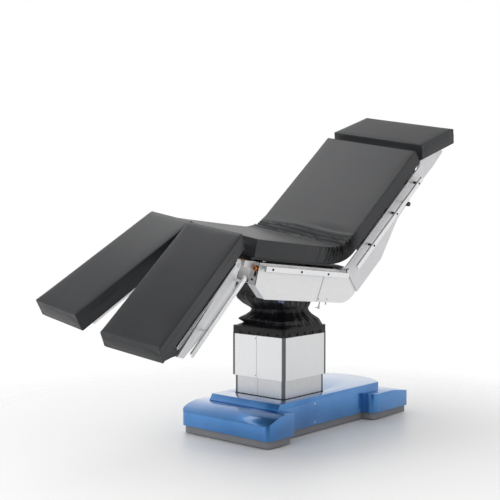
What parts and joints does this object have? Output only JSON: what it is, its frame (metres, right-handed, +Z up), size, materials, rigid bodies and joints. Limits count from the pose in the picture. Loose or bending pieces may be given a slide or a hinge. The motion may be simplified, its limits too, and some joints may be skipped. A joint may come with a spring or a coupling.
{
  "type": "operating table",
  "caption": "Operating table with a boxed telescoping column on a low base, tilting seat, hinged back, head section and split leg sections with side rails.",
  "frame": {"origin": "on the floor, under the axis of the lifting column", "axes": "+X from the column towards the head end, +Z up; the side nearest the camera in the picture, called left, is -Y"},
  "size_m": [2.099, 0.7456, 1.5157],
  "materials": {
    "base_paint": "gloss",
    "frame_iron": "matt",
    "plinth_plastic": "matt",
    "foot_rubber": "matt",
    "bellows_rubber": "satin",
    "cover_steel": "satin brushed",
    "machined_steel": "machined",
    "bright_steel": "polished",
    "panel_steel": "satin",
    "cheek_paint": "satin",
    "structure_paint": "satin",
    "tube_aluminium": "extruded",
    "board_laminate": "matt",
    "pad_cover": "satin",
    "drive_plastic": "matt",
    "window_plastic": "gloss",
    "release_orange": "gloss",
    "knob_plastic": "matt"
  },
  "bodies": {
    "base": {"base_frame": "frame_iron", "base_plinth": "plinth_plastic", "base_cover": "base_paint", "base_feet": "foot_rubber", "base_cover_screws": "bright_steel", "deck_seal": "foot_rubber", "power_packs": "drive_plastic", "power_inlet": "drive_plastic", "column_guide": "tube_aluminium", "lift_cylinder": "machined_steel", "column_cover_lower": "cover_steel"},
    "cover_middle": {"column_cover_middle": "cover_steel"},
    "column_upper": {"column_inner_guide": "tube_aluminium", "column_head": "machined_steel", "column_cover_upper": "cover_steel", "bellows_collar": "bellows_rubber", "trend_drive": "drive_plastic", "bellows_lower": "bellows_rubber"},
    "tilt_yoke_body": {"tilt_yoke": "machined_steel", "lateral_drive": "drive_plastic", "bellows_upper": "bellows_rubber"},
    "seat": {"seat_frame": "structure_paint", "seat_beam_left": "panel_steel", "seat_beam_right": "panel_steel", "side_panels": "panel_steel", "seat_board": "board_laminate", "seat_rails": "cover_steel", "seat_rail_fixings": "machined_steel", "hip_drives": "drive_plastic", "ir_window": "window_plastic", "release_lever": "bright_steel", "leg_couplings": "panel_steel", "coupling_catches": "release_orange", "seat_pad": "pad_cover", "hip_pad": "pad_cover"},
    "back": {"back_cheek_left": "cheek_paint", "back_cheek_right": "cheek_paint", "back_cross_tubes": "tube_aluminium", "hip_shafts": "bright_steel", "back_board": "board_laminate", "back_rails": "cover_steel", "back_rail_fixings": "machined_steel", "back_pad": "pad_cover"},
    "head_knob": {"head_release_knob": "knob_plastic"},
    "head": {"head_frame": "cheek_paint", "head_board": "board_laminate", "head_pad": "pad_cover"},
    "button_left": {"release_button_left": "release_orange"},
    "bracket_left": {"leg_bracket_left": "machined_steel"},
    "leg_left": {"leg_frame_left": "panel_steel", "leg_board_left": "board_laminate", "leg_rail_left": "cover_steel", "leg_pad_left": "pad_cover"},
    "button_right": {"release_button_right": "release_orange"},
    "bracket_right": {"leg_bracket_right": "machined_steel"},
    "leg_right": {"leg_frame_right": "panel_steel", "leg_board_right": "board_laminate", "leg_rail_right": "cover_steel", "leg_pad_right": "pad_cover"}
  },
  "joints": [
    {"name": "lift", "type": "slide", "parent": "base", "child": "column_upper", "axis": [0, 0, 1], "range_m": [-0.075, 0.175]},
    {"name": "cover_slide", "type": "slide", "parent": "base", "child": "cover_middle", "axis": [0, 0, 1], "range_m": [-0.0375, 0.0875]},
    {"name": "trendelenburg_tilt", "type": "hinge", "parent": "column_upper", "child": "tilt_yoke_body", "pos_m": [0, 0, 0.69], "axis": [0, 1, 0], "range_deg": [-30.6, 19.4], "deforming": ["bellows_lower"]},
    {"name": "lateral_tilt", "type": "hinge", "parent": "tilt_yoke_body", "child": "seat", "pos_m": [0, 0, 0.69], "axis": [0.9952, 0, -0.0976], "range_deg": [-29.65, 10.35], "deforming": ["bellows_upper"]},
    {"name": "back_hinge", "type": "hinge", "parent": "seat", "child": "back", "pos_m": [0.13496, -0.01839, 0.78543], "axis": [-0.0164, -0.9859, -0.1668], "range_deg": [-80.3, 29.7], "deforming": ["hip_pad"]},
    {"name": "head_hinge", "type": "hinge", "parent": "back", "child": "head", "pos_m": [0.64033, -0.11187, 1.2883], "axis": [-0.0164, -0.9859, -0.1668], "range_deg": [-19.9, 32.1]},
    {"name": "leg_spread_left", "type": "hinge", "parent": "seat", "child": "bracket_left", "pos_m": [-0.60251, -0.20751, 0.80647], "axis": [0.0962, -0.1676, 0.9811], "range_deg": [-17, 23]},
    {"name": "leg_pitch_left", "type": "hinge", "parent": "bracket_left", "child": "leg_left", "pos_m": [-0.60251, -0.20751, 0.80647], "axis": [0.2753, -0.9428, -0.1881], "range_deg": [-40.2, 49.8]},
    {"name": "button_left_press", "type": "slide", "parent": "seat", "child": "button_left", "axis": [0.9952, 0, -0.0976], "range_m": [0, 0.004], "stiffness_N_per_m": 600},
    {"name": "leg_spread_right", "type": "hinge", "parent": "seat", "child": "bracket_right", "pos_m": [-0.59613, 0.17697, 0.87154], "axis": [-0.0962, 0.1676, -0.9811], "range_deg": [0, 40]},
    {"name": "leg_pitch_right", "type": "hinge", "parent": "bracket_right", "child": "leg_right", "pos_m": [-0.59613, 0.17697, 0.87154], "axis": [-0.0164, -0.9859, -0.1668], "range_deg": [-38.1, 51.9]},
    {"name": "button_right_press", "type": "slide", "parent": "seat", "child": "button_right", "axis": [0.9952, 0, -0.0976], "range_m": [0, 0.004], "stiffness_N_per_m": 600},
    {"name": "head_knob_turn", "type": "hinge", "parent": "back", "child": "head_knob", "pos_m": [0.5526, -0.07759, 1.09435], "axis": [-0.0164, -0.9859, -0.1668], "range_deg": [0, 90]}
  ],
  "couplings": [
    {"joint": "cover_slide", "follows": "lift", "ratio": 0.5}
  ]
}
